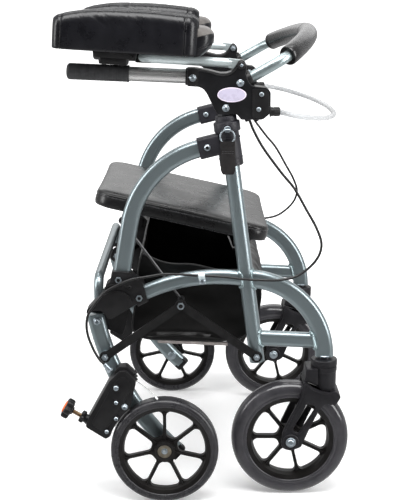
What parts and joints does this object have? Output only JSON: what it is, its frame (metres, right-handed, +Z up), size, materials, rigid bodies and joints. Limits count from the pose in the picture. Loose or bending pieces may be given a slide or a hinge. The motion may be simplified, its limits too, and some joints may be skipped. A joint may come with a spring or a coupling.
{
  "type": "rollator walker",
  "caption": "Folding wheeled walker with padded forearm supports, foam handlebar, rear grips, pull-loop brake, lift-up padded seat and a bag under the seat.",
  "frame": {"origin": "middle of the outline on the floor", "axes": "+X forward, towards the castors; +Y to the user's left; +Z up"},
  "size_m": [0.5384, 0.6504, 0.904],
  "materials": {
    "frame_paint": "metallic grey-green, semi-gloss",
    "silver_tube": "silver-grey tube",
    "black_plastic": "moulded black plastic",
    "collar_plastic": "dark grey plastic",
    "black_metal": "black paint",
    "zinc": "bright zinc plate",
    "aluminium": "brushed",
    "foam": "matte foam",
    "grip_rubber": "soft black grip",
    "rear_tyre": "charcoal",
    "front_tyre": "near black",
    "pad_leather": "black synthetic leather",
    "seat_vinyl": "black vinyl",
    "bag_fabric": "black woven",
    "cable": "black sheath",
    "loop_tube": "clear tube over a steel wire",
    "brass": "orange knob on a brass screw",
    "bearing": "bearing",
    "shoe": "pressed steel",
    "dark_tube": "dark grey"
  },
  "bodies": {
    "frame": {"right_side_frame": "frame_paint", "left_side_frame": "frame_paint", "right_hinge_casting": "black_plastic", "left_hinge_casting": "black_plastic", "right_post_collar": "collar_plastic", "left_post_collar": "collar_plastic", "front_cross_tube": "black_metal", "rear_cross_bar": "frame_paint", "bag": "bag_fabric", "frame_fasteners": "zinc", "right_brake_cable": "cable", "left_brake_cable": "cable"},
    "handle_unit": {"inner_posts": "dark_tube", "right_bracket": "black_plastic", "left_bracket": "black_plastic", "handlebar": "silver_tube", "foam_grips": "foam", "rear_handle_tubes": "aluminium", "rear_grips": "grip_rubber", "bracket_bolts": "zinc", "loop_ferrules": "black_plastic"},
    "brake_loop": {"brake_loop": "loop_tube"},
    "seat": {"seat_cushion": "seat_vinyl", "seat_board": "black_plastic"},
    "seat_rods": {"seat_rods": "zinc"},
    "right_arm": {"right_arm_tube": "silver_tube", "right_pad_clamp": "black_plastic"},
    "right_pad": {"right_forearm_pad": "pad_leather"},
    "right_lock": {"right_height_lock": "zinc"},
    "right_leg": {"right_rear_leg": "frame_paint", "right_brake_housing": "black_plastic", "right_leg_hardware": "zinc"},
    "right_rear_wheel": {"right_rear_rim": "black_plastic", "right_rear_tyre": "rear_tyre", "right_rear_bearings": "bearing"},
    "right_rear_brace": {"right_rear_link": "black_metal"},
    "right_front_brace": {"right_front_link": "black_metal"},
    "right_shoe": {"right_brake_shoe": "shoe"},
    "right_knob": {"right_brake_knob": "brass"},
    "right_caster": {"right_caster_fork": "black_plastic"},
    "right_front_wheel": {"right_front_rim": "black_plastic", "right_front_tyre": "front_tyre"},
    "left_arm": {"left_arm_tube": "silver_tube", "left_pad_clamp": "black_plastic"},
    "left_pad": {"left_forearm_pad": "pad_leather"},
    "left_lock": {"left_height_lock": "zinc"},
    "left_leg": {"left_rear_leg": "frame_paint", "left_brake_housing": "black_plastic", "left_leg_hardware": "zinc"},
    "left_rear_wheel": {"left_rear_rim": "black_plastic", "left_rear_tyre": "rear_tyre", "left_rear_bearings": "bearing"},
    "left_rear_brace": {"left_rear_link": "black_metal"},
    "left_front_brace": {"left_front_link": "black_metal"},
    "left_shoe": {"left_brake_shoe": "shoe"},
    "left_knob": {"left_brake_knob": "brass"},
    "left_caster": {"left_caster_fork": "black_plastic"},
    "left_front_wheel": {"left_front_rim": "black_plastic", "left_front_tyre": "front_tyre"}
  },
  "joints": [
    {"name": "handle_height", "type": "slide", "parent": "frame", "child": "handle_unit", "axis": [-0.1323, 0, 0.9912], "range_m": [0, 0.2], "deforming": ["right_brake_cable", "left_brake_cable"]},
    {"name": "brake_pull", "type": "hinge", "parent": "handle_unit", "child": "brake_loop", "pos_m": [0.1302, 0, 0.722], "axis": [0, -1, 0], "range_deg": [0, 22], "stiffness_Nm_per_rad": 0.5},
    {"name": "right_leg_fold", "type": "hinge", "parent": "frame", "child": "right_leg", "pos_m": [-0.1988, -0.268, 0.338], "axis": [0, 1, 0], "range_deg": [0, 54.8], "deforming": ["right_brake_cable"]},
    {"name": "right_lock_pull", "type": "slide", "parent": "frame", "child": "right_lock", "axis": [0, -1, 0], "range_m": [0, 0.008], "stiffness_N_per_m": 400},
    {"name": "right_arm_lift", "type": "hinge", "parent": "handle_unit", "child": "right_arm", "pos_m": [0.0629, -0.268, 0.805], "axis": [0, 1, 0], "range_deg": [0, 85]},
    {"name": "right_pad_turn", "type": "hinge", "parent": "right_arm", "child": "right_pad", "pos_m": [-0.1597, -0.268, 0.8296], "axis": [0.061, 0, 0.9981], "range_deg": [-15, 15]},
    {"name": "right_rear_brace_fold", "type": "hinge", "parent": "right_leg", "child": "right_rear_brace", "pos_m": [-0.1848, -0.2915, 0.273], "axis": [0, 1, 0], "range_deg": [-24.6, 0]},
    {"name": "right_front_brace_fold", "type": "hinge", "parent": "frame", "child": "right_front_brace", "pos_m": [0.0947, -0.2865, 0.272], "axis": [0, 1, 0], "range_deg": [-25, 0]},
    {"name": "right_rear_wheel_spin", "type": "hinge", "parent": "right_leg", "child": "right_rear_wheel", "pos_m": [-0.0753, -0.308, 0.1], "axis": [0, 1, 0], "continuous": true},
    {"name": "right_shoe_press", "type": "hinge", "parent": "right_leg", "child": "right_shoe", "pos_m": [-0.1478, -0.3075, 0.187], "axis": [0, -1, 0], "range_deg": [0, 2]},
    {"name": "right_knob_turn", "type": "hinge", "parent": "right_leg", "child": "right_knob", "pos_m": [-0.2528, -0.304, 0.177], "axis": [0.8607, 0, -0.509], "continuous": true},
    {"name": "right_caster_swivel", "type": "hinge", "parent": "frame", "child": "right_caster", "pos_m": [0.2212, -0.268, 0.265], "axis": [0, 0, 1], "continuous": true},
    {"name": "right_front_wheel_spin", "type": "hinge", "parent": "right_caster", "child": "right_front_wheel", "pos_m": [0.1592, -0.268, 0.11], "axis": [0, 1, 0], "continuous": true},
    {"name": "left_leg_fold", "type": "hinge", "parent": "frame", "child": "left_leg", "pos_m": [-0.1988, 0.268, 0.338], "axis": [0, 1, 0], "range_deg": [0, 54.8], "deforming": ["left_brake_cable"]},
    {"name": "left_lock_pull", "type": "slide", "parent": "frame", "child": "left_lock", "axis": [0, 1, 0], "range_m": [0, 0.008], "stiffness_N_per_m": 400},
    {"name": "left_arm_lift", "type": "hinge", "parent": "handle_unit", "child": "left_arm", "pos_m": [0.0629, 0.268, 0.805], "axis": [0, 1, 0], "range_deg": [0, 85]},
    {"name": "left_pad_turn", "type": "hinge", "parent": "left_arm", "child": "left_pad", "pos_m": [-0.1597, 0.268, 0.8296], "axis": [0.061, 0, 0.9981], "range_deg": [-15, 15]},
    {"name": "left_rear_brace_fold", "type": "hinge", "parent": "left_leg", "child": "left_rear_brace", "pos_m": [-0.1848, 0.2915, 0.273], "axis": [0, 1, 0], "range_deg": [-24.6, 0]},
    {"name": "left_front_brace_fold", "type": "hinge", "parent": "frame", "child": "left_front_brace", "pos_m": [0.0947, 0.2865, 0.272], "axis": [0, 1, 0], "range_deg": [-25, 0]},
    {"name": "left_rear_wheel_spin", "type": "hinge", "parent": "left_leg", "child": "left_rear_wheel", "pos_m": [-0.0753, 0.308, 0.1], "axis": [0, 1, 0], "continuous": true},
    {"name": "left_shoe_press", "type": "hinge", "parent": "left_leg", "child": "left_shoe", "pos_m": [-0.1478, 0.3075, 0.187], "axis": [0, -1, 0], "range_deg": [0, 2]},
    {"name": "left_knob_turn", "type": "hinge", "parent": "left_leg", "child": "left_knob", "pos_m": [-0.2528, 0.304, 0.177], "axis": [0.8607, 0, -0.509], "continuous": true},
    {"name": "left_caster_swivel", "type": "hinge", "parent": "frame", "child": "left_caster", "pos_m": [0.2212, 0.268, 0.265], "axis": [0, 0, 1], "continuous": true},
    {"name": "left_front_wheel_spin", "type": "hinge", "parent": "left_caster", "child": "left_front_wheel", "pos_m": [0.1592, 0.268, 0.11], "axis": [0, 1, 0], "continuous": true},
    {"name": "seat_tilt", "type": "hinge", "parent": "frame", "child": "seat", "pos_m": [0.0702, 0, 0.455], "axis": [0, 1, 0], "range_deg": [-12.75, 0]},
    {"name": "seat_rod_swing", "type": "hinge", "parent": "seat", "child": "seat_rods", "pos_m": [-0.1528, 0, 0.52], "axis": [0, 1, 0], "range_deg": [0, 20.8]}
  ],
  "couplings": [
    {"joint": "right_rear_brace_fold", "follows": "right_leg_fold", "ratio": -0.4469},
    {"joint": "right_front_brace_fold", "follows": "right_leg_fold", "ratio": -0.45456},
    {"joint": "right_shoe_press", "follows": "brake_pull", "ratio": 0.090909},
    {"joint": "left_leg_fold", "follows": "right_leg_fold", "ratio": 1},
    {"joint": "left_rear_brace_fold", "follows": "right_leg_fold", "ratio": -0.4469},
    {"joint": "left_front_brace_fold", "follows": "right_leg_fold", "ratio": -0.45456},
    {"joint": "left_shoe_press", "follows": "brake_pull", "ratio": 0.090909},
    {"joint": "seat_tilt", "follows": "right_leg_fold", "ratio": -0.23175},
    {"joint": "seat_rod_swing", "follows": "right_leg_fold", "ratio": 0.37828}
  ]
}
